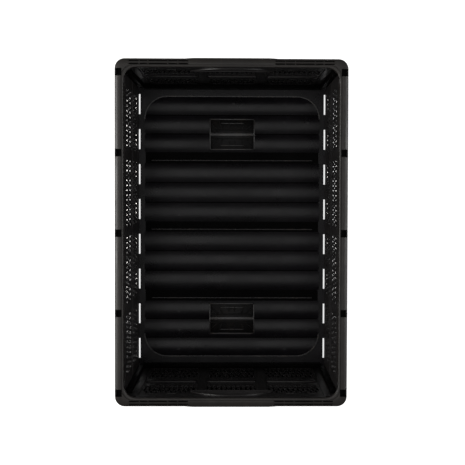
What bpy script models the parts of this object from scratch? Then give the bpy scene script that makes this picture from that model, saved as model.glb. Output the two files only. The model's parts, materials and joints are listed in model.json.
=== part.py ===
"""Collapsible storage crate, Euro footprint, standing erect with its walls locked up.

The long walls fold in half, inwards, between the base tray and the top frame. The end walls hang
from the top frame and swing inwards and up. Every moving piece hangs from an empty on its joint's
axis. Dimensions are in millimetres, and MM turns them into Blender's metres. The long sides face
+X and -X, the ends +Y and -Y, and the crate stands on Z = 0.
"""

import math
from collections import namedtuple

import bmesh
import bpy
from mathutils import Matrix, Vector

MM = 0.001

# Whole crate
WIDTH = 400.0
LENGTH = 600.0
HEIGHT = 320.0
OUTER_CORNER_R = 17.0
GRIP_BOW = 1.0  # how far each end's grip stands out of the rim
RIM_END = LENGTH / 2 - GRIP_BOW
GAP = 0.5

# Long walls and their three hinge lines
WALL_INNER = 185.3
WALL_OUTER = 194.0
WALL_END = 275.5
WALL_SKIN = 2.4
WALL_BAYS_Y = ((10.0, 127.8), (147.8, 255.0))
UPPER_BAY_Z = (189.0, 273.0)
LOWER_BAY_Z = (64.0, 152.0)
UPPER_BAND_Z = (168.0, 184.0)  # shallower recess in the solid band below the upper bays
LOWER_BAND_Z = (43.0, 59.0)
BAND_SKIN = 3.4
HINGE_X = 189.8  # bottom and top hinge lines, at mid thickness
MIDDLE_X = WALL_OUTER + 0.3  # middle hinge line, just outside the outer face
BOTTOM_Z = 33.0
TOP_Z = 287.0
MIDDLE_Z = (BOTTOM_Z + TOP_Z) / 2
BARREL_R = 4.0
BARREL_SIDES = 12
BORE_R = 2.4
ROD_R = 2.0
ROD_SIDES = 8
SETBACK = 4.5  # from a hinge line to the panel's own edge
INSET = 0.1  # keeps a knuckle's sides off the panel's faces where they join

# Base tray
PLATE_BOTTOM = 16.0
PLATE_TOP = 20.0
SLAT_EDGE_Z = 20.8
SLAT_CREST_Z = 24.0
SLAT_HALF_WIDTH = 175.0
SLAT_SECTIONS = ((9.0, 128.0), (148.0, 260.6))
SLATS_IN_SECTION = 3
SLAT_GROOVE = 2.4
RAIL_BOTTOM = 8.0
RAIL_TOP = 31.5
RAIL_INNER_X = 195.0
RAIL_INNER_R = 14.0
FOOT_HALF_WIDTH = 182.0
FOOT_HALF_LENGTH = 272.0
FOOT_WALL = 3.0
UNDER_RIB = 2.4
UNDER_RIB_BOTTOM = 12.0
UNDER_RIB_X = 61.0
UNDER_RIB_Y = 137.0
SLOT_PITCH = 70.0
SLOT_LENGTH = 40.0
SLOT_X = (181.8, 194.0)
KNUCKLE_OVERHANG = 1.7  # how far a lower wall's knuckle passes the slot under it
KNUCKLE_GAP = 0.3

# Top frame
SKIRT_BOTTOM = 277.0
TOP_PLATE_BOTTOM = 314.0
SKIRT = 2.0
END_SKIRT = 1.6
OPENING_X = 185.0
OPENING_Y = 284.0
OPENING_CORNER_R = 23.0
LIP_X = 188.0
LIP_BOTTOM = 293.0
LIP_END = 258.0
WINDOW = 12.8
WINDOW_PITCH = 137.8
WINDOW_X = (187.8, 198.0)
ARM_TOP = 8.0  # the arms that carry the barrels, measured from the top hinge line
ARM_BOTTOM = -1.0
ARM_INTO_SKIRT = 0.8
GROOVE_X = (74.5, 176.0)
GROOVE_Y = ((288.3, 290.6), (293.4, 295.7))
GROOVE_FLOOR = 317.0
GRIP_HALF = 72.5
GRIP_TAPER = 4.0
GRIP_BOTTOM = 299.0
GRIP_TOP = 318.8

# End walls and their hinge pins
END_HALF_WIDTH = 184.3
END_INNER = 284.6
END_OUTER = 296.0
END_SKIN = 2.4
END_BOTTOM = 24.5
END_TOP = 307.5
END_HINGE_Y = 290.0
END_HINGE_Z = 304.0
RETURN_Y = 276.3  # how far the side returns and the foot reach into the crate
RETURN_X = 176.0
RETURN_TOP = 272.0
FOOT_TOP = 27.0
BAR_RISE = 2.0  # how far the bar at mid height stands out of each bay
BAR_BAND_Z = (136.0, 174.0)
END_BAYS = ((-158.0, -66.0), (-44.0, 44.0), (66.0, 158.0))
END_LOWER_Z = (32.0, 132.0)
END_UPPER_Z = (208.0, 268.0)
END_CENTRE_Z = (208.0, 252.0)
END_BAND_Z = (179.0, 203.0)
HAND_HALF = 71.5
HAND_BOTTOM = 258.0
HAND_TOP = 298.0
LUG_X = (80.0, 126.0, 170.0)
LUG_HALF = 4.0
LUG_NOTCH_BOTTOM = 296.5
PIN_X = (74.5, 181.5)

# Floor catches, two inserts each with a cross bar
CATCH_Y = 185.0
CATCH_HALF = (45.0, 31.0)
CATCH_BOTTOM = 18.3
CATCH_PLATE_TOP = 20.0
CATCH_TOP = 23.6
CATCH_RIM = 2.6
CATCH_RIB = 9.0  # from the cross bar to the outer face of each rib beside it
BAR_R = 1.6
BAR_Z = 22.0
BAR_HALF = 43.4
BAR_CLEARANCE = 0.4

BLACK = (0.020, 0.019, 0.022)
STEEL = (0.42, 0.41, 0.40)

Body = namedtuple("Body", "empty pivot")


def clear_scene():
    for item in list(bpy.data.objects):
        bpy.data.objects.remove(item, do_unlink=True)


def both(spans):
    """Each (low, high) span on the positive side and its mirror image on the negative side."""
    return [*spans, *[(-high, -low) for low, high in spans]]


def side_span(side, low, high):
    """A span in X on the +X side, or its mirror image on the -X side."""
    return (low, high) if side > 0 else (-high, -low)


def arc(centre, radius, start, end, steps):
    """Points from one angle to another, both in degrees and both included."""
    angles = [math.radians(start + (end - start) * i / steps) for i in range(steps + 1)]
    return [(centre[0] + radius * math.cos(a), centre[1] + radius * math.sin(a)) for a in angles]


def rounded_rectangle(half_x, half_y, radius, steps=6):
    corners = ((1, 1, 0), (-1, 1, 90), (-1, -1, 180), (1, -1, 270))
    outline = []
    for x, y, turn in corners:
        centre = (x * (half_x - radius), y * (half_y - radius))
        outline += arc(centre, radius, turn, turn + 90, steps)
    return outline


def add_box(shape, x, y, z):
    """Adds a box that spans the (low, high) pairs."""
    centre = Vector(sum(span) / 2 for span in (x, y, z)) * MM
    sides = [(span[1] - span[0]) * MM for span in (x, y, z)]
    place = Matrix.Translation(centre) @ Matrix.Diagonal((*sides, 1.0))
    bmesh.ops.create_cube(shape, size=1.0, matrix=place)


def add_prism(shape, outline, axis, span):
    """Adds an outline extruded along an axis. Its points are the other two coordinates, in order."""
    rings = []
    for t in span:
        ring = [{"X": (t, a, b), "Y": (a, t, b), "Z": (a, b, t)}[axis] for a, b in outline]
        rings.append([shape.verts.new(Vector(point) * MM) for point in ring])
    low, high = rings
    for i in range(len(outline)):
        j = (i + 1) % len(outline)
        shape.faces.new((low[i], low[j], high[j], high[i]))
    shape.faces.new(low[::-1])
    shape.faces.new(high)


def add_cylinder(shape, centre, radius, sides, axis, span):
    add_prism(shape, arc(centre, radius, 0, 360 - 360 / sides, sides - 1), axis, span)


def new_mesh(name, shape, pivot=(0, 0, 0)):
    bmesh.ops.recalc_face_normals(shape, faces=shape.faces)
    bmesh.ops.translate(shape, vec=-Vector(pivot) * MM, verts=shape.verts)
    mesh = bpy.data.meshes.new(name)
    shape.to_mesh(mesh)
    shape.free()
    return mesh


def new_material(name, colour, roughness, metallic):
    material = bpy.data.materials.new(name)
    material.use_nodes = True
    shader = material.node_tree.nodes["Principled BSDF"]
    shader.inputs["Base Color"].default_value = (*colour, 1.0)
    shader.inputs["Roughness"].default_value = roughness
    shader.inputs["Metallic"].default_value = metallic
    return material


def new_body(name, pivot, parent=None):
    """An empty on a joint's axis, which carries the pieces that move together."""
    empty = bpy.data.objects.new(name, None)
    start = parent.pivot if parent else (0, 0, 0)
    empty.location = (Vector(pivot) - Vector(start)) * MM
    empty.parent = parent.empty if parent else None
    bpy.context.scene.collection.objects.link(empty)
    return Body(empty, pivot)


def new_piece(name, body, shape, colour=BLACK, roughness=0.45, metallic=0.0):
    item = bpy.data.objects.new(name, new_mesh(name, shape, body.pivot))
    item.data.materials.append(new_material(name, colour, roughness, metallic))
    item.parent = body.empty
    bpy.context.scene.collection.objects.link(item)
    return item


def combine(item, shape, operation):
    """Adds a Boolean with the shapes in world coordinates, which don't touch each other."""
    name = f"{item.name}_{operation.lower()}_{len(item.modifiers)}"
    tool = bpy.data.objects.new(name, new_mesh(name, shape))
    tool.hide_render = True
    tool.display_type = "WIRE"
    bpy.context.scene.collection.objects.link(tool)
    modifier = item.modifiers.new(name, "BOOLEAN")
    modifier.operation = operation
    modifier.solver = "EXACT"
    modifier.object = tool


def fuse(item, shape):
    combine(item, shape, "UNION")


def cut(item, shape):
    combine(item, shape, "DIFFERENCE")


def cut_boxes(item, boxes):
    shape = bmesh.new()
    for x, y, z in boxes:
        add_box(shape, x, y, z)
    cut(item, shape)


def fuse_boxes(item, boxes):
    shape = bmesh.new()
    for x, y, z in boxes:
        add_box(shape, x, y, z)
    fuse(item, shape)


def new_rod(name, body, centre, radius, axis, span):
    shape = bmesh.new()
    add_cylinder(shape, centre, radius, ROD_SIDES, axis, span)
    item = new_piece(name, body, shape, STEEL, 0.3, 1.0)
    item.data.shade_smooth()
    item.data.set_sharp_from_angle(angle=math.radians(50))


# Where the knuckles of each hinge line lie along Y


def wall_bottom_knuckles():
    half = SLOT_LENGTH / 2 + KNUCKLE_OVERHANG
    return both([(y - half, y + half) for y in (SLOT_PITCH * (i + 0.5) for i in range(4))])


def base_knuckles():
    half = SLOT_PITCH / 2 - SLOT_LENGTH / 2 - KNUCKLE_OVERHANG - KNUCKLE_GAP
    inner = [(y - half, y + half) for y in (SLOT_PITCH * i for i in range(-3, 4))]
    return inner + both([(SLOT_PITCH * 4 - half, WALL_END - GAP)])


def middle_knuckles(first):
    """Every second one of eleven lengths: the lower panel has those from 0, the upper from 1."""
    pitch = 2 * WALL_END / 11
    starts = [-WALL_END + pitch * i for i in range(first, 11, 2)]
    return [(y + 0.2, y + pitch - 0.2) for y in starts]


def frame_knuckles():
    return [(y - WINDOW / 2, y + WINDOW / 2) for y in (WINDOW_PITCH * i for i in range(-2, 3))]


def wall_top_knuckles():
    half = WINDOW / 2 + 0.4
    return both([(WINDOW_PITCH * i + half, WINDOW_PITCH * (i + 1) - half) for i in range(2)])


def knuckle_outline(side, hinge, outer, inner, up):
    """A barrel round the hinge line, with a web that runs into its panel, above it or below it.

    outer and inner are the web's faces, and up is 1 when the panel lies above the hinge line.
    """
    depth = SETBACK + 1.0
    start, end = hinge[0] - inner, outer - hinge[0]
    web_inner = start - INSET
    web_outer = end - INSET
    inner_angle = 0.0 if web_inner >= BARREL_R else math.degrees(math.acos(web_inner / BARREL_R))
    outer_angle = 180.0 if web_outer >= BARREL_R else 180 - math.degrees(math.acos(web_outer / BARREL_R))
    points = [(web_inner, depth)]
    if web_inner >= BARREL_R:
        points.append((web_inner, 0.0))
    points += arc((0, 0), BARREL_R, inner_angle, outer_angle - 360, BARREL_SIDES)
    if web_outer >= BARREL_R:
        points.append((-web_outer, 0.0))
    points.append((-web_outer, depth))
    return [(side * (hinge[0] - x), hinge[1] + up * z) for x, z in points]


def add_knuckles(shape, outline, spans):
    for span in spans:
        add_prism(shape, outline, "Y", span)


def bore(item, side, x, z, half_length):
    shape = bmesh.new()
    add_cylinder(shape, (side * x, z), BORE_R, ROD_SIDES, "Y", (-half_length, half_length))
    cut(item, shape)


def long_wall(name, body, side, upper):
    """One half of a folding long wall: a panel with thin bays and a row of knuckles on each edge."""
    bottom = MIDDLE_Z + SETBACK if upper else BOTTOM_Z + SETBACK
    top = TOP_Z - SETBACK if upper else MIDDLE_Z - SETBACK
    bay_z, band_z = (UPPER_BAY_Z, UPPER_BAND_Z) if upper else (LOWER_BAY_Z, LOWER_BAND_Z)
    shape = bmesh.new()
    add_box(shape, side_span(side, WALL_INNER, WALL_OUTER), (-WALL_END, WALL_END), (bottom, top))
    wall = new_piece(name, body, shape)
    knuckles = bmesh.new()
    middle = knuckle_outline(side, (MIDDLE_X, MIDDLE_Z), WALL_OUTER, WALL_INNER, 1 if upper else -1)
    add_knuckles(knuckles, middle, middle_knuckles(1 if upper else 0))
    if upper:
        outline = knuckle_outline(side, (HINGE_X, TOP_Z), WALL_OUTER, WALL_INNER, -1)
        add_knuckles(knuckles, outline, wall_top_knuckles())
    else:
        outline = knuckle_outline(side, (HINGE_X, BOTTOM_Z), WALL_OUTER, WALL_INNER, 1)
        add_knuckles(knuckles, outline, wall_bottom_knuckles())
    fuse(wall, knuckles)
    bays = both(WALL_BAYS_Y)
    bay_x = side_span(side, WALL_INNER + WALL_SKIN, WALL_OUTER + 1)
    band_x = side_span(side, WALL_INNER + BAND_SKIN, WALL_OUTER + 1)
    cut_boxes(wall, [(bay_x, bay, bay_z) for bay in bays] + [(band_x, bay, band_z) for bay in bays])
    bore(wall, side, MIDDLE_X, MIDDLE_Z, WALL_END + 1)
    bore(wall, side, HINGE_X, TOP_Z if upper else BOTTOM_Z, WALL_END + 1)
    return wall


def add_slat(shape, low, high):
    """A slat with a rounded crest, across the floor."""
    middle = (low + high) / 2
    half = (high - low) / 2
    rise = SLAT_CREST_Z - SLAT_EDGE_Z
    radius = (half * half + rise * rise) / (2 * rise)
    spread = math.degrees(math.asin(half / radius))
    crest = arc((middle, SLAT_CREST_Z - radius), radius, 90 - spread, 90 + spread, 4)
    outline = [(low, PLATE_TOP - 1), (high, PLATE_TOP - 1), *crest]
    add_prism(shape, outline, "X", (-SLAT_HALF_WIDTH, SLAT_HALF_WIDTH))


def slat_spans():
    spans = []
    for low, high in SLAT_SECTIONS:
        pitch = (high - low) / SLATS_IN_SECTION
        for i in range(SLATS_IN_SECTION):
            start = low + pitch * i
            spans.append((start + SLAT_GROOVE / 2, start + pitch - SLAT_GROOVE / 2))
    return both(spans)


def base_knuckle_outline(side):
    """A post on the tray's edge with a barrel on top."""
    points = [(BARREL_R, PLATE_TOP - 1 - BOTTOM_Z), *arc((0, 0), BARREL_R, 0, 180, 6)]
    points.append((-BARREL_R, PLATE_TOP - 1 - BOTTOM_Z))
    return [(side * (HINGE_X - x), BOTTOM_Z + z) for x, z in points]


def base_tray(body):
    shape = bmesh.new()
    outline = rounded_rectangle(WIDTH / 2, RIM_END, OUTER_CORNER_R)
    add_prism(shape, outline, "Z", (RAIL_BOTTOM, RAIL_TOP))
    tray = new_piece("base_tray", body, shape)
    rail_inner_y = END_OUTER + GAP
    inside = bmesh.new()
    for span in ((PLATE_TOP, RAIL_TOP + 1), (RAIL_BOTTOM - 1, PLATE_BOTTOM)):
        add_prism(inside, rounded_rectangle(RAIL_INNER_X, rail_inner_y, RAIL_INNER_R), "Z", span)
    cut(tray, inside)
    foot_x = (-FOOT_HALF_WIDTH, FOOT_HALF_WIDTH)
    foot_y = (-FOOT_HALF_LENGTH, FOOT_HALF_LENGTH)
    fuse_boxes(tray, [(foot_x, foot_y, (0, PLATE_BOTTOM + 1))])
    under_x = FOOT_HALF_WIDTH - FOOT_WALL
    under_y = FOOT_HALF_LENGTH - FOOT_WALL
    cut_boxes(tray, [((-under_x, under_x), (-under_y, under_y), (-1, UNDER_RIB_BOTTOM))])
    cells_x = both([(UNDER_RIB_X, under_x)])
    cells_x.append((-UNDER_RIB_X + UNDER_RIB, UNDER_RIB_X - UNDER_RIB))
    cells_y = both([(UNDER_RIB, UNDER_RIB_Y), (UNDER_RIB_Y + UNDER_RIB, under_y)])
    cells_z = (UNDER_RIB_BOTTOM - 1, PLATE_BOTTOM)
    cut_boxes(tray, [(x, y, cells_z) for x in cells_x for y in cells_y])
    slats = bmesh.new()
    for low, high in slat_spans():
        add_slat(slats, low, high)
    fuse(tray, slats)
    knuckles = bmesh.new()
    for side in (-1, 1):
        add_knuckles(knuckles, base_knuckle_outline(side), base_knuckles())
    fuse(tray, knuckles)
    for side in (-1, 1):
        bore(tray, side, HINGE_X, BOTTOM_Z, WALL_END + 1)
    centres = [SLOT_PITCH * (i + 0.5) for i in range(4)]
    slots = both([(y - SLOT_LENGTH / 2, y + SLOT_LENGTH / 2) for y in centres])
    slot_z = (-1, PLATE_TOP + 1)
    cut_boxes(tray, [(side_span(side, *SLOT_X), y, slot_z) for side in (-1, 1) for y in slots])
    end_slot_x = (-END_HALF_WIDTH - GAP, END_HALF_WIDTH + GAP)
    end_slot_y = (WALL_END + 0.3, rail_inner_y)
    recess_y = (CATCH_Y - CATCH_HALF[1] - GAP, CATCH_Y + CATCH_HALF[1] + GAP)
    recess_x = (-CATCH_HALF[0] - GAP, CATCH_HALF[0] + GAP)
    openings = [(end_slot_x, y, (-1, HEIGHT)) for y in both([end_slot_y])]
    openings += [(recess_x, y, (CATCH_BOTTOM - 0.3, HEIGHT)) for y in both([recess_y])]
    cut_boxes(tray, openings)


def floor_catch(name, body, end):
    """A catch insert, clipped into the floor: a shallow tray with two ribs beside its cross bar."""
    half_x, half_y = CATCH_HALF
    middle = end * CATCH_Y
    shape = bmesh.new()
    add_box(shape, (-half_x, half_x), (middle - half_y, middle + half_y), (CATCH_BOTTOM, CATCH_TOP))
    catch = new_piece(name, body, shape, BLACK, 0.35)
    hollow_x = (-half_x + CATCH_RIM, half_x - CATCH_RIM)
    hollow_z = (CATCH_PLATE_TOP, CATCH_TOP + 1)
    hollows = [
        (middle - half_y + CATCH_RIM, middle - CATCH_RIB),
        (middle - CATCH_RIB + CATCH_RIM, middle + CATCH_RIB - CATCH_RIM),
        (middle + CATCH_RIB, middle + half_y - CATCH_RIM),
    ]
    cut_boxes(catch, [(hollow_x, y, hollow_z) for y in hollows])
    notch_x = (-BAR_HALF - BAR_CLEARANCE, BAR_HALF + BAR_CLEARANCE)
    notch = BAR_R + BAR_CLEARANCE
    cut_boxes(catch, [(notch_x, (middle - notch, middle + notch), hollow_z)])


def top_frame_knuckle_outline(side):
    """A barrel carried by an arm from the outer skirt."""
    arm = WIDTH / 2 - SKIRT + ARM_INTO_SKIRT - HINGE_X
    points = [(0.0, ARM_TOP), (0.0, BARREL_R), *arc((0, 0), BARREL_R, 90, -165, 9)]
    points.append((-arm, ARM_BOTTOM))
    points.append((-arm, ARM_TOP))
    return [(side * (HINGE_X - x), TOP_Z + z) for x, z in points]


def top_frame(body):
    shape = bmesh.new()
    outline = rounded_rectangle(WIDTH / 2, RIM_END, OUTER_CORNER_R)
    add_prism(shape, outline, "Z", (SKIRT_BOTTOM, HEIGHT))
    frame = new_piece("top_frame", body, shape)
    inside = bmesh.new()
    outline = rounded_rectangle(WIDTH / 2 - SKIRT, RIM_END - END_SKIRT, OUTER_CORNER_R - SKIRT)
    add_prism(inside, outline, "Z", (SKIRT_BOTTOM - 1, TOP_PLATE_BOTTOM))
    cut(frame, inside)
    opening = bmesh.new()
    outline = rounded_rectangle(OPENING_X, OPENING_Y, OPENING_CORNER_R)
    add_prism(opening, outline, "Z", (TOP_PLATE_BOTTOM - 1, HEIGHT + 1))
    cut(frame, opening)
    lip_z = (LIP_BOTTOM, HEIGHT - 1)
    lips = [(side_span(side, OPENING_X, LIP_X), (-LIP_END, LIP_END), lip_z) for side in (-1, 1)]
    lug_y = (END_HINGE_Y - SETBACK, END_HINGE_Y + SETBACK)
    lugs = [
        (side_span(side, x - LUG_HALF, x + LUG_HALF), y, (END_HINGE_Z - SETBACK, TOP_PLATE_BOTTOM + 1))
        for side in (-1, 1)
        for x in LUG_X
        for y in both([lug_y])
    ]
    fuse_boxes(frame, lips + lugs)
    grips = bmesh.new()
    for end in (-1, 1):
        low, high = end * (RIM_END - 1), end * LENGTH / 2
        half = GRIP_HALF - GRIP_TAPER
        outline = [(-GRIP_HALF, low), (GRIP_HALF, low), (half, high), (-half, high)]
        add_prism(grips, outline, "Z", (GRIP_BOTTOM - 1, GRIP_TOP))
    fuse(frame, grips)
    knuckles = bmesh.new()
    for side in (-1, 1):
        add_knuckles(knuckles, top_frame_knuckle_outline(side), frame_knuckles())
    fuse(frame, knuckles)
    for side in (-1, 1):
        bore(frame, side, HINGE_X, TOP_Z, WINDOW_PITCH * 2 + WINDOW)
    cutouts = [
        (side_span(side, *WINDOW_X), span, (TOP_PLATE_BOTTOM - 1, HEIGHT + 1))
        for side in (-1, 1)
        for span in frame_knuckles()
    ]
    cutouts += [
        (side_span(side, *GROOVE_X), groove, (GROOVE_FLOOR, HEIGHT + 1))
        for side in (-1, 1)
        for groove in both(GROOVE_Y)
    ]
    hand_y = (RIM_END - SKIRT * 2, LENGTH / 2 + 1)
    cutouts += [((-HAND_HALF, HAND_HALF), y, (SKIRT_BOTTOM - 1, GRIP_BOTTOM)) for y in both([hand_y])]
    cut_boxes(frame, cutouts)
    pin_bores = bmesh.new()
    for y in (-END_HINGE_Y, END_HINGE_Y):
        for side in (-1, 1):
            span = side_span(side, PIN_X[0], PIN_X[1])
            add_cylinder(pin_bores, (y, END_HINGE_Z), BORE_R, ROD_SIDES, "X", span)
    cut(frame, pin_bores)


def hand_hole_outline():
    rise = HAND_TOP - HAND_BOTTOM
    radius = (HAND_HALF * HAND_HALF + rise * rise) / (2 * rise)
    spread = math.degrees(math.asin(HAND_HALF / radius))
    return arc((0, HAND_TOP - radius), radius, 90 - spread, 90 + spread, 12)


def end_wall(name, body, end):
    """An end wall with side returns, a foot, bars at mid height and thin bays."""
    inner, outer = END_INNER, END_OUTER
    shape = bmesh.new()
    full_x = (-END_HALF_WIDTH, END_HALF_WIDTH)

    def y_span(low, high):
        return (low, high) if end > 0 else (-high, -low)

    add_box(shape, full_x, y_span(inner, outer), (END_BOTTOM, END_TOP))
    wall = new_piece(name, body, shape)
    return_y = y_span(RETURN_Y, inner + 1)
    returns_z = (END_BOTTOM, RETURN_TOP)
    returns = both([(RETURN_X, END_HALF_WIDTH)])
    fuse_boxes(wall, [(x, return_y, returns_z) for x in returns])
    bars = [(bay, y_span(inner - BAR_RISE, inner + 1), BAR_BAND_Z) for bay in END_BAYS]
    inside_returns = (-RETURN_X - 1, RETURN_X + 1)
    fuse_boxes(wall, [*bars, (inside_returns, return_y, (END_BOTTOM, FOOT_TOP))])
    bay_y = y_span(inner + END_SKIN, outer + 1)
    bays = [(bay, bay_y, z) for bay in END_BAYS for z in (END_LOWER_Z, BAR_BAND_Z, END_BAND_Z)]
    bays += [(bay, bay_y, END_UPPER_Z) for bay in (END_BAYS[0], END_BAYS[2])]
    bays.append((END_BAYS[1], bay_y, END_CENTRE_Z))
    cut_boxes(wall, bays)
    notch_y = y_span(RETURN_Y, outer + 1)
    notch_z = (LUG_NOTCH_BOTTOM, END_TOP + 1)
    notches = [(x - LUG_HALF - GAP, x + LUG_HALF + GAP) for x in LUG_X]
    cut_boxes(wall, [(x, notch_y, notch_z) for x in both(notches)])
    holes = bmesh.new()
    add_prism(holes, hand_hole_outline(), "Y", y_span(inner - 2, outer + 2))
    for side in (-1, 1):
        span = side_span(side, PIN_X[0] - GAP, END_HALF_WIDTH + 1)
        add_cylinder(holes, (end * END_HINGE_Y, END_HINGE_Z), BORE_R, ROD_SIDES, "X", span)
    cut(wall, holes)


def build():
    clear_scene()
    base = new_body("base", (0, 0, 0))
    base_tray(base)
    for end, place in ((-1, "front"), (1, "rear")):
        floor_catch(f"floor_catch_{place}", base, end)
        centre = (end * CATCH_Y, BAR_Z)
        new_rod(f"floor_catch_bar_{place}", base, centre, BAR_R, "X", (-BAR_HALF, BAR_HALF))
    rod_y = (-WALL_END + 1, WALL_END - 1)
    uppers = {}
    for side, place in ((-1, "left"), (1, "right")):
        lower = new_body(f"{place}_lower", (side * HINGE_X, 0, BOTTOM_Z), base)
        upper = new_body(f"{place}_upper", (side * MIDDLE_X, 0, MIDDLE_Z), lower)
        long_wall(f"long_wall_{place}_lower", lower, side, False)
        long_wall(f"long_wall_{place}_upper", upper, side, True)
        new_rod(f"hinge_rod_bottom_{place}", base, (side * HINGE_X, BOTTOM_Z), ROD_R, "Y", rod_y)
        new_rod(f"hinge_rod_middle_{place}", lower, (side * MIDDLE_X, MIDDLE_Z), ROD_R, "Y", rod_y)
        uppers[place] = upper
    frame = new_body("frame", (-HINGE_X, 0, TOP_Z), uppers["left"])
    top_frame(frame)
    top_rod = WINDOW_PITCH * 2 + WINDOW / 2
    for side, place in ((-1, "left"), (1, "right")):
        new_rod(f"hinge_rod_top_{place}", frame, (side * HINGE_X, TOP_Z), ROD_R, "Y", (-top_rod, top_rod))
    for end, place in ((-1, "front"), (1, "rear")):
        pivot = (0, end * END_HINGE_Y, END_HINGE_Z)
        end_wall(f"end_wall_{place}", new_body(f"end_{place}", pivot, frame), end)
        for side, hand in ((-1, "left"), (1, "right")):
            span = side_span(side, PIN_X[0] + GAP, PIN_X[1] - GAP)
            new_rod(f"end_hinge_pin_{place}_{hand}", frame, pivot[1:], ROD_R, "X", span)


build()
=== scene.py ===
"""The collapsible crate's looks: rim, folding long walls with diamond lattices, end walls, slatted
tray and floor catches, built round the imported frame. Distances here are in millimetres."""

import json
import math
import random

import bmesh
import bpy
from mathutils import Matrix, Vector


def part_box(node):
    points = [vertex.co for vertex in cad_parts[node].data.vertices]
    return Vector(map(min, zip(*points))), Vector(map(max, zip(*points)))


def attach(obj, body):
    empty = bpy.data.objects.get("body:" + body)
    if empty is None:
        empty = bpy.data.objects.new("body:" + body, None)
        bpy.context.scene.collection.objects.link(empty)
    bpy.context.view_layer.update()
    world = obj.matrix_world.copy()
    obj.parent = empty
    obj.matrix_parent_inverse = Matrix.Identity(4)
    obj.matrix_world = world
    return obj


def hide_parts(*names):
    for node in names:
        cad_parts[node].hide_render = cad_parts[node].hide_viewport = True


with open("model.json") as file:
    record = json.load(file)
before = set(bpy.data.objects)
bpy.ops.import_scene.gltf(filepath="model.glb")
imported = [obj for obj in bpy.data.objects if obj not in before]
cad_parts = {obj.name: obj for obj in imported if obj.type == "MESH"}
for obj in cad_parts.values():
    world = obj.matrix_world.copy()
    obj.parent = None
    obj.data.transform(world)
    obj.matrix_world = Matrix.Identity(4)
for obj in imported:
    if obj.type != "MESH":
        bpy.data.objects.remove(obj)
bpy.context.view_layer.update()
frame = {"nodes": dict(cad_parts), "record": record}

MM = 0.001
JOINTS = {
    joint["name"]: [v / MM for v in joint["pos_m"]] for joint in frame["record"]["behaviour"]["joints"]
}


def spans(node):
    """The (low, high) spans of a CAD node in X, Y and Z."""
    low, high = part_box(node)
    return [(low[i] / MM, high[i] / MM) for i in range(3)]


RIM = spans("top_frame")
TRAY = spans("base_tray")
END = spans("end_wall_rear")
LOWER = spans("long_wall_right_lower")

LATTICE_PITCH, LATTICE_ROW = 8.8, 26.0  # across the wall, and up it
LUG_X = (80.0, 126.0, 170.0)  # where the end walls' lugs hang under the rim
BASE_PITCH = 70.0  # between the tray's side slots, and between its knuckles

# ---------------------------------------------------------------- shape helpers


def arc(centre, radius, start, end, steps):
    angles = [math.radians(start + (end - start) * i / steps) for i in range(steps + 1)]
    return [(centre[0] + radius * math.cos(a), centre[1] + radius * math.sin(a)) for a in angles]


def rounded_rectangle(half_x, half_y, radius, steps=8):
    outline = []
    for x, y, turn in ((1, 1, 0), (-1, 1, 90), (-1, -1, 180), (1, -1, 270)):
        outline += arc((x * (half_x - radius), y * (half_y - radius)), radius, turn, turn + 90, steps)
    return outline


def both(items):
    return [*items, *[(-high, -low) for low, high in items]]


def side_span(side, low, high):
    return (low, high) if side > 0 else (-high, -low)


def box(shape, x, y, z):
    corners = [
        shape.verts.new((x[i] * MM, y[j] * MM, z[k] * MM)) for i in (0, 1) for j in (0, 1) for k in (0, 1)
    ]
    for a, b, c, d in ((0, 1, 3, 2), (4, 6, 7, 5), (0, 4, 5, 1), (2, 3, 7, 6), (0, 2, 6, 4), (1, 5, 7, 3)):
        shape.faces.new((corners[a], corners[b], corners[c], corners[d]))


def prism(shape, outline, axis, span):
    """An outline extruded along an axis; its points are the other two coordinates, in order."""
    place = {
        "X": lambda t, a, b: (t, a, b), "Y": lambda t, a, b: (a, t, b), "Z": lambda t, a, b: (a, b, t),
    }[axis]
    low, high = [[shape.verts.new(Vector(place(t, a, b)) * MM) for a, b in outline] for t in span]
    for i in range(len(outline)):
        j = (i + 1) % len(outline)
        shape.faces.new((low[i], low[j], high[j], high[i]))
    shape.faces.new(low[::-1])
    shape.faces.new(high)


def cylinder(shape, centre, radius, axis, span, sides=16):
    prism(shape, arc(centre, radius, 0, 360 - 360 / sides, sides - 1), axis, span)


def bar(shape, start, end, width, z):
    """A straight upright bar between two (x, y) points."""
    along = (Vector(end) - Vector(start)).normalized()
    across = Vector((-along.y, along.x)) * width / 2
    outline = [Vector(start) + across, Vector(start) - across, Vector(end) - across, Vector(end) + across]
    prism(shape, [tuple(point) for point in outline], "Z", z)


def make(name, shape, bevel=0.0):
    bmesh.ops.recalc_face_normals(shape, faces=shape.faces)
    mesh = bpy.data.meshes.new(name)
    shape.to_mesh(mesh)
    shape.free()
    obj = bpy.data.objects.new(name, mesh)
    bpy.context.scene.collection.objects.link(obj)
    if bevel:
        modifier = obj.modifiers.new("bevel", "BEVEL")
        modifier.width = bevel * MM
        modifier.segments = 2
        modifier.limit_method = "ANGLE"
        modifier.angle_limit = math.radians(40)
        apply(obj)
    return obj


def apply(obj):
    graph = bpy.context.evaluated_depsgraph_get()
    mesh = bpy.data.meshes.new_from_object(obj.evaluated_get(graph))
    obj.modifiers.clear()
    obj.data = mesh


def combine(obj, tool, operation):
    modifier = obj.modifiers.new("combine", "BOOLEAN")
    modifier.operation = operation
    modifier.solver = "EXACT"
    modifier.use_self = operation != "INTERSECT"
    modifier.object = tool
    apply(obj)
    bpy.data.objects.remove(tool)


def cut(obj, shape):
    combine(obj, make("tool", shape), "DIFFERENCE")


def boxes(items):
    shape = bmesh.new()
    for x, y, z in items:
        box(shape, x, y, z)
    return shape


def join(target, *others):
    shape = bmesh.new()
    for obj in (target, *others):
        shape.from_mesh(obj.data)
    shape.to_mesh(target.data)
    shape.free()
    for obj in others:
        bpy.data.objects.remove(obj)


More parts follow.
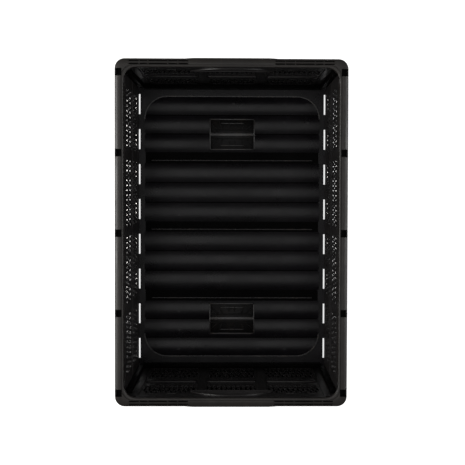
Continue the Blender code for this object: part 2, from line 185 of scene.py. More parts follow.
def shade(obj, index):
    """Gives all of an object's faces the material of that index in the piece it will be joined to."""
    for face in obj.data.polygons:
        face.material_index = index
    return obj


def smooth(obj, degrees=35):
    obj.data.shade_smooth()
    obj.data.set_sharp_from_angle(angle=math.radians(degrees))


def lattice(name, u_span, v_span, half_hole, place, depth):
    """A sheet of diamond holes between u_span and v_span. place(u, v, d) gives the point at depth d."""
    pitch, row = LATTICE_PITCH, LATTICE_ROW
    shape = bmesh.new()
    count_u = int((u_span[1] - u_span[0]) / pitch) + 3
    count_v = int((v_span[1] - v_span[0]) / row) + 3
    mid_u, mid_v = sum(u_span) / 2, sum(v_span) / 2
    for j in range(-(count_v // 2) - 1, count_v // 2 + 2):
        shift = pitch / 2 if j % 2 else 0.0
        for i in range(-(count_u // 2) - 1, count_u // 2 + 2):
            u, v = mid_u + i * pitch + shift, mid_v + j * row
            outer = [(u + pitch / 2, v), (u, v + row), (u - pitch / 2, v), (u, v - row)]
            inner = [
                (u + half_hole[0], v), (u, v + half_hole[1]), (u - half_hole[0], v), (u, v - half_hole[1]),
            ]
            ring_out = [shape.verts.new((*point, 0)) for point in outer]
            ring_in = [shape.verts.new((*point, 0)) for point in inner]
            for a in range(4):
                b = (a + 1) % 4
                shape.faces.new((ring_out[a], ring_out[b], ring_in[b], ring_in[a]))
    bmesh.ops.remove_doubles(shape, verts=shape.verts, dist=0.01)
    for at, normal in (
        ((u_span[0], 0, 0), (-1, 0, 0)), ((u_span[1], 0, 0), (1, 0, 0)),
        ((0, v_span[0], 0), (0, -1, 0)), ((0, v_span[1], 0), (0, 1, 0)),
    ):
        geom = [*shape.verts, *shape.edges, *shape.faces]
        bmesh.ops.bisect_plane(shape, geom=geom, dist=0.0001, plane_co=at, plane_no=normal, clear_outer=True)
    made = bmesh.ops.extrude_face_region(shape, geom=shape.faces[:])
    raised = {item for item in made["geom"] if isinstance(item, bmesh.types.BMVert)}
    for vert in shape.verts:
        u, v, _ = vert.co
        vert.co = Vector(place(u, v, depth[1] if vert in raised else depth[0])) * MM
    return make(name, shape)


# ---------------------------------------------------------------- materials


def plastic(name, colour, warm, roughness, grain=260.0, dust=0.35, wear=0.5, gloss=0.3):
    """Moulded plastic: mottled colour, a fine grain, rubbed streaks, and dust on what faces up."""
    material = bpy.data.materials.new(name)
    material.use_nodes = True
    tree = material.node_tree
    nodes, links = tree.nodes, tree.links
    shader = nodes["Principled BSDF"]
    where = nodes.new("ShaderNodeTexCoord").outputs["Object"]

    def noise(scale, detail, stretch=(1, 1, 1)):
        mapping = nodes.new("ShaderNodeMapping")
        mapping.inputs["Scale"].default_value = stretch
        links.new(where, mapping.inputs["Vector"])
        texture = nodes.new("ShaderNodeTexNoise")
        texture.inputs["Scale"].default_value = scale
        texture.inputs["Detail"].default_value = detail
        links.new(mapping.outputs["Vector"], texture.inputs["Vector"])
        return texture.outputs["Fac"]

    def ramp(value, low, high, to_low=0.0, to_high=1.0):
        node = nodes.new("ShaderNodeMapRange")
        node.inputs["From Min"].default_value = low
        node.inputs["From Max"].default_value = high
        node.inputs["To Min"].default_value = to_low
        node.inputs["To Max"].default_value = to_high
        links.new(value, node.inputs["Value"])
        return node.outputs["Result"]

    def times(first, second):
        node = nodes.new("ShaderNodeMath")
        node.operation = "MULTIPLY"
        links.new(first, node.inputs[0])
        if isinstance(second, float):
            node.inputs[1].default_value = second
        else:
            links.new(second, node.inputs[1])
        return node.outputs["Value"]

    def mix(factor, first, second):
        node = nodes.new("ShaderNodeMix")
        node.data_type = "RGBA"
        links.new(factor, node.inputs["Factor"])
        for socket, value in ((node.inputs["A"], first), (node.inputs["B"], second)):
            if isinstance(value, tuple):
                socket.default_value = (*value, 1.0)
            else:
                links.new(value, socket)
        return node.outputs["Result"]

    mottle = ramp(noise(9.0, 6.0), 0.35, 0.65)
    base = mix(mottle, tuple(c * 0.86 for c in colour), tuple(c * 1.16 for c in colour))
    normal = nodes.new("ShaderNodeNewGeometry").outputs["Normal"]
    split = nodes.new("ShaderNodeSeparateXYZ")
    links.new(normal, split.inputs["Vector"])
    up = ramp(split.outputs["Z"], 0.55, 1.0)
    specks = ramp(noise(70.0, 8.0), 0.52, 0.78)
    dusty = times(times(up, specks), dust)
    base = mix(dusty, base, warm)
    streaks = ramp(noise(40.0, 5.0, (9.0, 0.7, 3.0)), 0.60, 0.74)
    scuffs = ramp(noise(30.0, 5.0, (0.7, 9.0, 3.0)), 0.62, 0.76)
    rubbed = nodes.new("ShaderNodeMath")
    rubbed.operation = "MAXIMUM"
    links.new(streaks, rubbed.inputs[0])
    links.new(scuffs, rubbed.inputs[1])
    worn = times(rubbed.outputs["Value"], wear)
    base = mix(times(worn, 0.35), base, warm)
    links.new(base, shader.inputs["Base Color"])
    sheen = nodes.new("ShaderNodeMath")
    sheen.operation = "ADD"
    links.new(ramp(noise(16.0, 5.0), 0.3, 0.7, roughness - 0.06, roughness + 0.07), sheen.inputs[0])
    links.new(times(worn, 0.12), sheen.inputs[1])
    links.new(sheen.outputs["Value"], shader.inputs["Roughness"])
    bump = nodes.new("ShaderNodeBump")
    bump.inputs["Strength"].default_value = 0.18
    bump.inputs["Distance"].default_value = 0.0004
    links.new(noise(grain, 3.0), bump.inputs["Height"])
    links.new(bump.outputs["Normal"], shader.inputs["Normal"])
    shader.inputs["Specular IOR Level"].default_value = gloss
    return material


def steel(name):
    """Drawn wire: fine lengthwise lines, dull spots and a little brown at random."""
    material = plastic(name, (0.40, 0.39, 0.38), (0.20, 0.13, 0.08), 0.34, 900.0, 0.10, 0.6)
    material.node_tree.nodes["Principled BSDF"].inputs["Metallic"].default_value = 1.0
    return material


MATERIALS = {
    "frame_plastic": plastic(
        "frame_plastic", (0.0130, 0.0112, 0.0100), (0.050, 0.044, 0.037), 0.40, 420.0, 0.25, 0.5, 0.42
    ),
    "wall_plastic": plastic(
        "wall_plastic", (0.0110, 0.0098, 0.0100), (0.050, 0.044, 0.040), 0.38, 420.0, 0.15, 0.4, 0.35
    ),
    "base_plastic": plastic(
        "base_plastic", (0.0040, 0.0033, 0.0046), (0.020, 0.018, 0.020), 0.30, 300.0, 0.16, 0.4, 0.32
    ),
    # painted shade: catch_plastic is darker than the tray's plastic so that the catch reads black, as a deep
    # recess would
    "catch_plastic": plastic(
        "catch_plastic", (0.0030, 0.0026, 0.0026), (0.040, 0.028, 0.018), 0.34, 400.0, 0.20, 0.5, 0.15
    ),
    # painted highlight: a brighter, glossier plastic for ledge beads, slat lips and catch bars, standing in
    # for the light that their edges catch
    "painted_highlight": plastic(
        "painted_highlight", (0.0240, 0.0225, 0.0235), (0.110, 0.085, 0.060), 0.26, 500.0, 0.45, 0.8, 0.6
    ),
    "deep_shadow": plastic(
        "deep_shadow", (0.0012, 0.0011, 0.0011), (0.008, 0.007, 0.006), 0.5, 400.0, 0.1, 0.3, 0.04
    ),
    "steel_rod": steel("steel_rod"),
}


def dress(obj, slot, body, *nodes, others=(), angle=35):
    """Gives a finished piece its materials, its body and the CAD nodes that it stands for."""
    shades = [face.material_index for face in obj.data.polygons]
    obj.data.materials.clear()
    for each in (slot, *others):
        obj.data.materials.append(MATERIALS[each])
    obj.data.polygons.foreach_set("material_index", shades)
    smooth(obj, angle)
    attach(obj, body)
    if nodes:
        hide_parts(*nodes)
    return obj


# ---------------------------------------------------------------- top rim

RIM_X, RIM_Y, RIM_TOP, RIM_BOTTOM = RIM[0][1], RIM[1][1] - 1.0, RIM[2][1], RIM[2][0]
OUTER_R, INNER_R, RIM_WIDTH, GRIP_HALF = 17.0, 23.0, 15.0, 72.5
HAND_HALF, GRIP_BOTTOM = 71.5, 299.0
WINDOW, WINDOW_PITCH = 12.8, 137.8
WINDOW_AT = [WINDOW_PITCH * i for i in range(-2, 3)]


def rim_path(depth):
    """The rim's outline at a distance in from its outer edge, closed, with points along each end."""
    t = depth / RIM_WIDTH
    corner = OUTER_R + (INNER_R - OUTER_R) * max(t, 0.0)
    half_x, half_y = RIM_X - depth, RIM_Y - depth
    points = []
    for x, y, turn in ((1, 1, 0), (-1, 1, 90), (-1, -1, 180), (1, -1, 270)):
        points += arc((x * (half_x - corner), y * (half_y - corner)), corner, turn, turn + 90, 10)
        if turn in (0, 180):
            reach, steps = 96.0, 24
            run = [reach * (1 - 2 * i / steps) * x for i in range(steps + 1)]
            points += [(at, y * half_y) for at in run]
    bow = max(0.0, 1.0 - depth / 6.0)
    grown = []
    for x, y in points:
        if abs(abs(y) - half_y) < 0.01 and abs(x) < 90:
            rise = min(1.0, max(0.0, (GRIP_HALF + 3 - abs(x)) / 6.0))
            y += math.copysign(bow * rise * rise * (3 - 2 * rise), y)
        grown.append((x, y))
    return grown


def rim_shell():
    profile = [
        (1.0, RIM_BOTTOM), (0.2, RIM_BOTTOM + 0.8), (0.2, RIM_BOTTOM + 3.0), (0.9, RIM_BOTTOM + 3.6),
        (0.9, 309.0), (0.1, 310.2), (0.0, 311.0), (0.0, RIM_TOP - 3.9), (0.15, RIM_TOP - 3.0),
        (0.7, RIM_TOP - 2.2), (2.0, RIM_TOP - 1.4), (4.0, RIM_TOP - 0.7), (6.4, RIM_TOP - 0.2),
        (9.0, RIM_TOP), (10.7, RIM_TOP - 0.1), (11.0, RIM_TOP - 1.3), (11.7, RIM_TOP - 1.3),
        (12.1, RIM_TOP - 0.4), (14.0, RIM_TOP - 0.6),
        (14.7, RIM_TOP - 1.0), (15.0, RIM_TOP - 1.8), (15.0, 314.0), (2.0, 314.0), (2.0, RIM_BOTTOM),
    ]
    shape = bmesh.new()
    rings = [[shape.verts.new((x * MM, y * MM, z * MM)) for x, y in rim_path(d)] for d, z in profile]
    for a in range(len(rings)):
        low, high = rings[a], rings[(a + 1) % len(rings)]
        for i in range(len(low)):
            j = (i + 1) % len(low)
            shape.faces.new((low[i], low[j], high[j], high[i]))
    return make("crate_rim", shape)


def rim():
    rim_obj = rim_shell()
    tools = [
        (side_span(s, 187.8, 203.0), (y - WINDOW / 2, y + WINDOW / 2), (312, 325))
        for s in (-1, 1) for y in WINDOW_AT
    ]
    hand_y = (RIM_Y - 6.0, RIM_Y + 4.0)
    tools += [((-HAND_HALF, HAND_HALF), y, (RIM_BOTTOM - 1, GRIP_BOTTOM)) for y in both([hand_y])]
    cut(rim_obj, boxes(tools))
    pockets = []
    for side in (-1, 1):
        for inset, width in ((4.3, 2.2), (9.4, 2.4)):
            y = (RIM_Y - inset - width / 2, RIM_Y - inset + width / 2)
            pockets += [(side_span(side, 74.5, 176.0), yy) for yy in both([y])]
    cut(rim_obj, boxes([(x, y, (RIM_TOP - 5.3, 325)) for x, y in pockets]))
    # painted shade: the sockets pieces (window floors, hinge arms and strips at the groove floors) take the
    # near-black deep_shadow material, so windows and grooves look dark
    parts, sockets = bmesh.new(), bmesh.new()
    for x, y in pockets:
        box(sockets, x, y, (314.2, 316.4))
    for side in (-1, 1):
        box(parts, side_span(side, 185.0, 187.7), (-258, 258), (293, 317.8))
        for y in WINDOW_AT:
            arm = [(0, 8), (0, 4), *arc((0, 0), 4.0, 90, -165, 14), (-9.0, -1), (-9.0, 8)]
            hinge = JOINTS["frame_drop"]
            outline = [(side * (abs(hinge[0]) - x), hinge[2] + z) for x, z in arm]
            far = math.copysign(WINDOW / 2 + (7.0 if abs(y) > 200 else 0.0), y)
            near = -math.copysign(WINDOW / 2, y)
            prism(sockets, outline, "Y", (min(y + far, y + near), max(y + far, y + near)))
            box(parts, side_span(side, 194.6, 198.4), (y - 14.0, y + 14.0), (284.0, 296.0))
            box(sockets, side_span(side, 187.9, 199.9), (y - 6.3, y + 6.3), (308.0, 311.6))
            for edge in (y - 5.6, y + 5.6):
                box(sockets, side_span(side, 188.0, 199.8), (edge - 0.7, edge + 0.7), (308.0, 316.5))
            box(sockets, side_span(side, 199.0, 199.95), (y - 6.3, y + 6.3), (308.0, 316.5))
        for i in range(-7, 8):
            y = i * 34.45 + 17.2
            if abs(y) < 262 and all(abs(y - at) > 9 for at in WINDOW_AT):
                box(parts, side_span(side, 187.5, 198.4), (y - 0.9, y + 0.9), (308, 314.5))
        for i in range(-8, 9):
            y = i * 34.45
            box(parts, side_span(side, 198.0, 199.85), (y - 1.0, y + 1.0), (RIM_BOTTOM + 2, 310))
        for end in (-1, 1):
            for x in LUG_X:
                lug_y = side_span(end, 285.5, 294.5)
                box(parts, side_span(side, x - 4, x + 4), lug_y, (299.5, 315))
            for x in (92.0, 109.0, 143.0, 158.0):
                groove_y = side_span(end, RIM_Y - 10.4, RIM_Y - 3.4)
                box(parts, side_span(side, x - 0.7, x + 0.7), groove_y, (316, RIM_TOP - 1.4))
            for x in (76.0, 110.0, 145.0, 180.0):
                rib_y = side_span(end, RIM_Y - 1.6, RIM_Y - 0.15)
                box(parts, side_span(side, x - 1, x + 1), rib_y, (RIM_BOTTOM + 2, 310))
    extra = make("rim_parts", parts, 0.35)
    # the sockets piece gets the deep_shadow slot: painted shade
    join(rim_obj, extra, shade(make("rim_sockets", sockets), 1))
    dress(rim_obj, "frame_plastic", "frame", "top_frame", others=("deep_shadow",), angle=40)


# ---------------------------------------------------------------- long walls

WALL_INNER, WALL_OUTER, WALL_END, SETBACK = LOWER[0][0], 194.0, LOWER[1][1], 4.5
BAYS_Y = ((10.0, 127.8), (147.8, 255.0))


def wall_knuckle(side, hinge, up, inner, outer):
    """A barrel round the hinge line and the web that joins it to its panel, above it or below it."""
    start, end, depth = hinge[0] - inner, outer - hinge[0], SETBACK + 1.0
    first = 0.0 if start >= 4.0 else math.degrees(math.acos(start / 4.0))
    last = 180.0 if end >= 4.0 else 180 - math.degrees(math.acos(end / 4.0))
    points = [(start, depth)]
    if start >= 4.0:
        points.append((start, 0.0))
    points += arc((0, 0), 4.0, first, last - 360, 20)
    if end >= 4.0:
        points.append((-end, 0.0))
    points.append((-end, depth))
    return [(side * (hinge[0] - x), hinge[1] + up * z) for x, z in points]


def long_wall(side, place, upper):
    bottom, middle, top = JOINTS["fold"][2], JOINTS["left_middle_fold"][2], JOINTS["frame_drop"][2]
    hinge_x, middle_x = abs(JOINTS["fold"][0]), abs(JOINTS["left_middle_fold"][0])
    z = (middle + SETBACK, top - SETBACK) if upper else (bottom + SETBACK, middle - SETBACK)
    bay_z = (170.0, 275.0) if upper else (62.0, 150.0)
    panel = make("panel", boxes([(side_span(side, WALL_INNER, WALL_OUTER), (-WALL_END, WALL_END), z)]))
    bays = both(BAYS_Y)
    cut(panel, boxes([(side_span(side, WALL_INNER - 1, WALL_OUTER + 1), bay, bay_z) for bay in bays]))
    recess = side_span(side, WALL_INNER + 1.8, WALL_OUTER + 1)
    thin_z = (z[0] - 1, z[1] - 9.5) if upper else (z[0] - 1, z[1] + 1)
    cut(panel, boxes([(recess, bay, thin_z) for bay in bays]))
    parts = bmesh.new()
    pitch, inner, outer = 2 * WALL_END / 11, WALL_INNER + 0.1, WALL_OUTER - 0.1
    for i in range(1 if upper else 0, 11, 2):
        y = -WALL_END + pitch * (i + 0.5)
        outline = wall_knuckle(side, (middle_x, middle), 1 if upper else -1, inner, outer)
        prism(parts, outline, "Y", (y - 4.5, y + 4.5))
    if upper:
        half = WINDOW / 2 + 0.4
        runs = both([(WINDOW_PITCH * i + half, WINDOW_PITCH * (i + 1) - half) for i in range(2)])
        outline = wall_knuckle(side, (hinge_x, top), -1, inner, outer)
    else:
        starts = [BASE_PITCH * i + offset for i in range(4) for offset in (13.3, 47.7)]
        runs = both([(y, y + 9.0) for y in starts])
        outline = wall_knuckle(side, (hinge_x, bottom), 1, inner, outer)
    for run in runs:
        prism(parts, outline, "Y", run)
    for bay in bays:
        for i in range(1, 4):
            y = bay[0] + (bay[1] - bay[0]) * i / 4
            rib_x = side_span(side, WALL_INNER + 1.0, WALL_OUTER - 1.2)
            box(parts, rib_x, (y - 0.7, y + 0.7), (z[0] + 0.3, z[1] - 0.3))
    # painted shade: the tabs at the wall ends take the near-black deep_shadow material, so the corners look
    # black
    tab_z = (z[0] + 0.3, min(z[1] - 0.3, top - 6.0))
    tab_x, tabs_y = side_span(side, WALL_INNER + 0.4, WALL_INNER + 2.4), both([(WALL_END - 1.0, 293.0)])
    tabs = shade(make("tabs", boxes([(tab_x, tab_y, tab_z) for tab_y in tabs_y])), 1)
    extra = make("wall_parts", parts)
    sheets = []
    for i, bay in enumerate(bays):
        grow = (bay[0] - 1.5, bay[1] + 1.5)
        rows = (bay_z[0] - 1.5, bay_z[1] + 1.5)
        sheets.append(lattice(
            f"sheet_{i}", grow, rows, (2.5, 15.0),
            lambda u, v, d: (side * d, u, v), (WALL_INNER + 0.15, WALL_INNER + 1.7),
        ))
    join(panel, extra, tabs, *sheets)
    half_name = "upper" if upper else "lower"
    panel.name = f"{place}_wall_{half_name}_half"
    node = f"long_wall_{place}_{half_name}"
    dress(panel, "wall_plastic", f"{place}_{half_name}", node, others=("deep_shadow",))


# ---------------------------------------------------------------- end walls

END_X, END_BOTTOM, END_TOP = END[0][1], END[2][0], END[2][1]
END_OUTER, END_RETURN, END_INNER = END[1][1], END[1][0], 284.6
END_BAYS = ((-158.0, -66.0), (-44.0, 44.0), (66.0, 158.0))


def end_wall(end, place):
    def y(low, high):
        return side_span(end, low, high)

    panel = make("panel", boxes([((-END_X, END_X), y(END_INNER, END_OUTER), (END_BOTTOM, END_TOP))]))
    through = y(END_INNER - 1, END_OUTER + 1)
    mesh_bays = [(bay, (32.0, 132.0)) for bay in END_BAYS]
    mesh_bays += [(END_BAYS[0], (208.0, 268.0)), (END_BAYS[2], (208.0, 268.0)), (END_BAYS[1], (208.0, 252.0))]
    cut(panel, boxes([(x, through, z) for x, z in mesh_bays]))
    outside = y(END_INNER + 2.4, END_OUTER + 1)
    bands = [(bay, outside, z) for bay in END_BAYS for z in ((136.0, 174.0), (179.0, 203.0))]
    bands += [(bay, y(END_INNER - 1, END_INNER + 1.2), (180.0, 202.0)) for bay in END_BAYS]
    notch_z = (296.5, END_TOP + 1)
    bands += [(side_span(s, x - 4.5, x + 4.5), through, notch_z) for x in LUG_X for s in (-1, 1)]
    cut(panel, boxes(bands))
    hole = bmesh.new()
    rise = 40.0
    radius = (HAND_HALF ** 2 + rise ** 2) / (2 * rise)
    spread = math.degrees(math.asin(HAND_HALF / radius))
    arch = arc((0, 298.0 - radius), radius, 90 - spread, 90 + spread, 28)
    prism(hole, arch, "Y", y(END_INNER - 2, END_OUTER + 2))
    cut(panel, hole)
    # painted shade: the dark pieces (corner returns, bottom return, and the ribs behind the lattices) take
    # the near-black deep_shadow material, so corners and holes look black
    parts, dark = bmesh.new(), bmesh.new()
    for s in (-1, 1):
        box(dark, side_span(s, 176.0, END_X), y(END_RETURN, END_INNER + 1), (END_BOTTOM, 272.0))
    box(dark, (-177.0, 177.0), y(END_RETURN, END_INNER + 1), (END_BOTTOM, 27.0))
    for bay in END_BAYS:
        box(parts, (bay[0] + 0.6, bay[1] - 0.6), y(END_INNER - 2.0, END_INNER + 2), (136.4, 173.6))
        box(parts, (bay[0] - 0.5, bay[1] + 0.5), y(END_INNER + 0.2, END_INNER + 2.4), (173.0, 209.0))
        for i in range(1, 5):
            x = bay[0] + (bay[1] - bay[0]) * i / 5
            box(parts, (x - 0.7, x + 0.7), y(END_INNER + 1.8, END_OUTER - 2.5), (137.0, 202.0))
    for x, z in mesh_bays:
        for i in range(1, int((z[1] - z[0]) / 16.0) + 1):
            level = z[0] + 16.0 * i - 6.0
            box(dark, (x[0] - 1, x[1] + 1), y(END_INNER + 2.0, END_OUTER - 1.0), (level - 0.7, level + 0.7))
    for x in (-162.0, -62.0, -48.0, 48.0, 62.0, 162.0):
        rib_z = (30.0, 250.0 if abs(x) < 70 else 288.0)
        box(parts, (x - 1.0, x + 1.0), y(END_INNER - 0.9, END_INNER + 1), rib_z)
    for x in (-144.0, -104.0, 104.0, 144.0):
        box(parts, (x - 7.0, x + 7.0), y(END_INNER - 0.6, END_INNER + 1), (274.0, 277.5))
    extra, dark_obj = make("end_parts", parts, 0.3), shade(make("end_shade", dark, 0.3), 1)
    lip = bmesh.new()
    outer_arch = arc((0, 298.0 - radius), radius + 2.4, 90 - spread * 0.985, 90 + spread * 0.985, 28)
    for first, second in zip(range(28), range(1, 29)):
        quad = [arch[first], arch[second], outer_arch[second], outer_arch[first]]
        prism(lip, quad, "Y", y(END_INNER - 1.8, END_INNER + 1))
    box(lip, (-HAND_HALF, HAND_HALF), y(END_INNER - 1.8, END_INNER + 1), (255.8, 258.0))
    bmesh.ops.remove_doubles(lip, verts=lip.verts, dist=0.00001)
    lip_obj = make("hand_lip", lip)
    sheets = []
    for i, (x, z) in enumerate(mesh_bays):
        sheets.append(lattice(
            f"end_sheet_{i}", (x[0] - 1, x[1] + 1), (z[0] - 1, z[1] + 1), (3.1, 19.0),
            lambda u, v, d: (u, end * d, v), (END_INNER + 0.2, END_INNER + 2.2),
        ))
    join(panel, extra, dark_obj, lip_obj, *sheets)
    panel.name = f"{place}_end_wall"
    dress(panel, "wall_plastic", f"end_{place}", f"end_wall_{place}", others=("deep_shadow",))


# ---------------------------------------------------------------- base tray

PLATE_TOP, SLAT_EDGE, SLAT_CREST, SLAT_X = 20.0, 20.8, 24.0, 175.0
SECTIONS = ((9.0, 128.0), (148.0, 260.6))
CATCH_Y, CATCH_X = 185.0, 45.0


def tray():
    shape = bmesh.new()
    prism(shape, rounded_rectangle(TRAY[0][1], RIM_Y, OUTER_R), "Z", (8.0, 31.5))
    obj = make("slatted_tray", shape)
    hollow = bmesh.new()
    for span in ((PLATE_TOP, 33.0), (7.0, 16.0)):
        prism(hollow, rounded_rectangle(195.0, 296.5, 14.0), "Z", span)
    cut(obj, hollow)
    holes = [((-183.0, 183.0), y, (5, 40)) for y in both([(275.8, 296.5)])]
    slots = both([(BASE_PITCH * (i + 0.5) - 20, BASE_PITCH * (i + 0.5) + 20) for i in range(4)])
    holes += [(side_span(s, 183.6, 186.8), slot, (5, 40)) for s in (-1, 1) for slot in slots]
    pocket_x, pockets_y = (-CATCH_X - 0.5, CATCH_X + 0.5), both([(CATCH_Y - 31.5, CATCH_Y + 31.5)])
    pockets = [(pocket_x, pocket_y, (18.0, 40)) for pocket_y in pockets_y]
    cut(obj, boxes(holes + pockets))
    slats = bmesh.new()
    for low, high in SECTIONS:
        pitch = (high - low) / 3
        for i in range(3):
            for end in (-1, 1):
                start, stop = side_span(end, low + pitch * i + 1.2, low + pitch * (i + 1) - 1.2)
                half, rise = (stop - start) / 2, SLAT_CREST - SLAT_EDGE
                radius = (half * half + rise * rise) / (2 * rise)
                spread = math.degrees(math.asin(half / radius))
                crest = arc(((start + stop) / 2, SLAT_CREST - radius), radius, 90 - spread, 90 + spread, 14)
                prism(slats, [(start, 18.9), (stop, 18.9), *crest], "X", (-SLAT_X, SLAT_X))
    slat_obj = make("slats", slats)
    clip = bmesh.new()
    prism(clip, rounded_rectangle(SLAT_X - 0.2, 260.4, 45.0, 16), "Z", (18.5, 30.0))
    combine(slat_obj, make("clip", clip), "INTERSECT")
    cut(slat_obj, boxes(pockets))
    parts = bmesh.new()
    lips = bmesh.new()
    inner, outer = rounded_rectangle(173.4, 259.4, 43.8, 16), rounded_rectangle(175.4, 261.4, 45.8, 16)
    for i in range(len(inner)):
        j = (i + 1) % len(inner)
        if math.dist(inner[i], inner[j]) < 400:  # the long sides have no lip
            prism(lips, [inner[i], inner[j], outer[j], outer[i]], "Z", (19.0, 24.0))
    for end in (-1, 1):
        box(parts, (-184.6, 184.6), side_span(end, 271.0, 297.0), (16.0, 17.2))
    # the ribs go into the near-black piece below: painted shade
    ledges, ribs = bmesh.new(), bmesh.new()
    for at in (-137.8, 0.0, 137.8):
        cylinder(ledges, (at - 5.2, 22.6), 1.2, "X", (-161.0, 161.0), 16)
        box(parts, (-161.0, 161.0), (at - 5.9, at - 4.5), (19.0, 22.4))
        box(ribs, (-161.0, 161.0), (at + 4.8, at + 5.6), (19.0, 21.6))
        for x in (-131.5, -78.9, -26.3, 26.3, 78.9, 131.5):
            box(ribs, (x - 0.6, x + 0.6), (at - 9.0, at + 9.5), (19.0, 20.9))
    random.seed(4)
    for end in (-1, 1):
        for low in (9.0, 48.7, 88.3, 148.0, 185.5, 223.0):
            for x in (-150.0, -105.0, -52.6, 0.0, 52.6, 105.0, 150.0):
                y = end * (low + 19.0) + random.uniform(-4, 4)
                if abs(x) < 60 and 145 < abs(y) < 222:
                    continue
                cylinder(parts, (x + random.uniform(-3, 3), y), 2.6, "Z", (20.0, 23.96), 14)
    for s in (-1, 1):
        spans_y = [(BASE_PITCH * i - 13, BASE_PITCH * i + 13) for i in range(-3, 4)]
        for span in spans_y + both([(267.0, 275.0)]):
            outline = [(4.0, -14.0), *arc((0, 0), 4.0, 0, 180, 14), (-4.0, -14.0)]
            prism(parts, [(s * (189.8 - x), 33.0 + z) for x, z in outline], "Y", span)
        for i in range(-8, 9):
            box(parts, side_span(s, 193.5, 196.0), (i * 35.0 - 1, i * 35.0 + 1), (19.0, 29.5))
    for end in (-1, 1):
        for i in range(-5, 6):
            box(parts, (i * 35.0 - 0.7, i * 35.0 + 0.7), side_span(end, 262.0, 275.6), (19.0, 20.5))
        box(ribs, (-178.0, 178.0), side_span(end, 274.2, 275.6), (19.0, 22.0))
    box_foot = [
        ((-182.0, 182.0), (269.0, 272.0)), ((-182.0, 182.0), (-272.0, -269.0)),
        ((179.0, 182.0), (-272.0, 272.0)), ((-182.0, -179.0), (-272.0, 272.0)),
    ]
    for x, y in box_foot:
        box(parts, x, y, (0.0, 17.0))
    for x in (-120.0, -60.0, 0.0, 60.0, 120.0):
        box(parts, (x - 1.2, x + 1.2), (-270.0, 270.0), (12.0, 16.5))
    for i in range(-6, 7):
        box(parts, (-180.0, 180.0), (i * 40.0 - 1.2, i * 40.0 + 1.2), (12.0, 16.5))
    extra = make("tray_parts", parts)
    # painted shade: a thin near-black inlay over the plate between the slat sections, joined with the ribs,
    # takes deep_shadow so the channels look dark
    dark = bmesh.new()
    prism(dark, rounded_rectangle(173.2, 259.2, 43.6, 16), "Z", (19.4, 20.14))
    dark_obj = make("shade", dark)
    cut(dark_obj, boxes(pockets))
    join(dark_obj, make("ribs", ribs))
    shade(dark_obj, 2)
    bmesh.ops.remove_doubles(lips, verts=lips.verts, dist=0.00001)
    # painted highlight: slat lips and ledge beads take material slot 1, the brighter, glossier plastic
    lip_obj, ledge = shade(make("slat_lips", lips), 1), shade(make("ledges", ledges), 1)
    join(obj, slat_obj, extra, dark_obj, lip_obj, ledge)
    dress(obj, "base_plastic", "base", "base_tray", others=("painted_highlight", "deep_shadow"), angle=30)


# ---------------------------------------------------------------- floor catches


def catch(end, place):
    low, high = [Vector(v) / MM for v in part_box(f"floor_catch_{place}")]
    mid, top, bottom = (low.y + high.y) / 2, high.z, low.z
    shape = bmesh.new()
    box(shape, (low.x, high.x), (low.y, high.y), (bottom, bottom + 1.5))
    for x in ((low.x, low.x + 2.0), (high.x - 2.0, high.x)):
        box(shape, x, (low.y, high.y), (bottom, top - 0.3))
    for y in ((low.y, low.y + 2.0), (high.y - 2.0, high.y)):
        box(shape, (low.x, high.x), y, (bottom, top - 0.3))
    for y in (mid - 8.6, mid + 8.6):
        box(shape, (low.x + 4.0, high.x - 4.0), (y - 0.8, y + 0.8), (bottom, top))
    for s in (-1, 1):
        bar(shape, (s * 26.0, mid - 27.0), (s * 19.0, mid - 9.0), 1.5, (bottom, top - 0.5))
        bar(shape, (s * 26.0, mid + 27.0), (s * 19.0, mid + 9.0), 1.5, (bottom, top - 0.5))
        bar(shape, (s * 40.0, mid - 20.0), (s * 28.0, mid - 9.5), 1.4, (bottom, top - 1.0))
        bar(shape, (s * 40.0, mid + 20.0), (s * 28.0, mid + 9.5), 1.4, (bottom, top - 1.0))
        for y in (mid - 20.0, mid + 20.0):
            box(shape, side_span(s, 5.0, 6.4), (y - 6, y + 6), (bottom, top - 0.8))
            box(shape, side_span(s, 0.0, 6.4), (y - 0.7, y + 0.7), (bottom, top - 1.4))
        box(shape, side_span(s, 30.0, 31.6), (mid - 8.0, mid + 8.0), (bottom, top - 2.2))
    for y in (mid - 22.0, mid + 22.0):
        box(shape, (-24.0, 24.0), (y - 0.7, y + 0.7), (bottom, top - 0.9))
    box(shape, (low.x + 2.0, high.x - 2.0), (mid - 3.2, mid + 3.2), (top - 1.5, top - 0.1))
    obj = make(f"{place}_floor_catch", shape, 0.2)
    dress(obj, "catch_plastic", "base", f"floor_catch_{place}")
    # painted highlight: the top faces of the centre bar, the end frames and the ribs at 22 mm take the
    # brighter, glossier plastic
    obj.data.materials.append(MATERIALS["painted_highlight"])
    for face in obj.data.polygons:
        reach = abs(face.center.y / MM - mid)
        if face.center.z > (top - 1.0) * MM and (reach < 5.0 or reach > 27.5 or 21.0 < reach < 23.0):
            face.material_index = 1


# ---------------------------------------------------------------- build

rim()
for side, place in ((-1, "left"), (1, "right")):
    long_wall(side, place, False)
    long_wall(side, place, True)
for end, place in ((-1, "front"), (1, "rear")):
    end_wall(end, place)
    catch(end, place)
tray()
for name, node in frame["nodes"].items():
    if "rod" in name or "pin" in name or "bar" in name:
        node.data.materials.clear()
        node.data.materials.append(MATERIALS["steel_rod"])

# ---------------------------------------------------------------- stage, light and camera


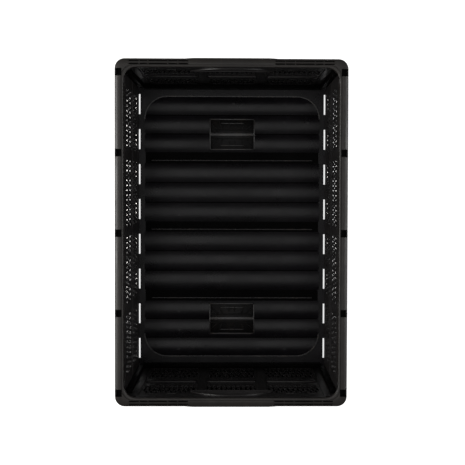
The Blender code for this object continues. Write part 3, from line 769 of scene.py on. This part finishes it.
def stage():
    shape = bmesh.new()
    box(shape, (-4000, 4000), (-4000, 4000), (-20.0, -0.05))
    floor = make("studio_floor", shape)
    material = bpy.data.materials.new("studio_floor")
    material.use_nodes = True
    shader = material.node_tree.nodes["Principled BSDF"]
    shader.inputs["Base Color"].default_value = (0.93, 0.93, 0.93, 1.0)
    shader.inputs["Roughness"].default_value = 0.9
    shader.inputs["Specular IOR Level"].default_value = 0.1
    shader.inputs["Emission Color"].default_value = (1.0, 1.0, 1.0, 1.0)
    shader.inputs["Emission Strength"].default_value = 0.8
    floor.data.materials.append(material)


def area_light(name, location, target, size, power, colour=(1, 1, 1)):
    data = bpy.data.lights.new(name, "AREA")
    data.shape = "RECTANGLE"
    data.size, data.size_y = size
    data.energy = power
    data.color = colour
    light = bpy.data.objects.new(name, data)
    light.location = location
    aim = Vector(target) - Vector(location)
    light.rotation_euler = aim.to_track_quat("-Z", "Y").to_euler()
    bpy.context.scene.collection.objects.link(light)


stage()
area_light("overhead", (0.0, 0.05, 2.7), (0, 0, 0.2), (1.5, 1.5), 6)
area_light("side_left", (-2.2, 0.1, 1.9), (0, 0, 0.25), (0.9, 1.4), 58, (1.0, 0.985, 0.96))
area_light("side_right", (2.2, 0.1, 1.9), (0, 0, 0.25), (0.9, 1.4), 26)
world = bpy.data.worlds.new("studio")
world.use_nodes = True
world.node_tree.nodes["Background"].inputs["Color"].default_value = (1.0, 1.0, 1.0, 1.0)
world.node_tree.nodes["Background"].inputs["Strength"].default_value = 0.12
bpy.context.scene.world = world
bpy.context.scene.view_settings.view_transform = "Standard"

camera_data = bpy.data.cameras.new("camera")
camera_data.lens = 78.3
camera_data.sensor_width = 36.0
camera_data.shift_x, camera_data.shift_y = -0.0401, -0.0329
camera = bpy.data.objects.new("camera", camera_data)
eye, target = Vector((0.0066, 0.0794, 2.052)), Vector((0.0338, 0.0280, 0.32))
away = (eye - target).normalized()
roll = math.radians(0.14)
right = Vector((math.cos(roll), math.sin(roll), 0))
right = (right - away * right.dot(away)).normalized()
up = away.cross(right)
camera.matrix_world = Matrix.Translation(eye) @ Matrix((right, up, away)).transposed().to_4x4()
bpy.context.scene.collection.objects.link(camera)
bpy.context.scene.camera = camera
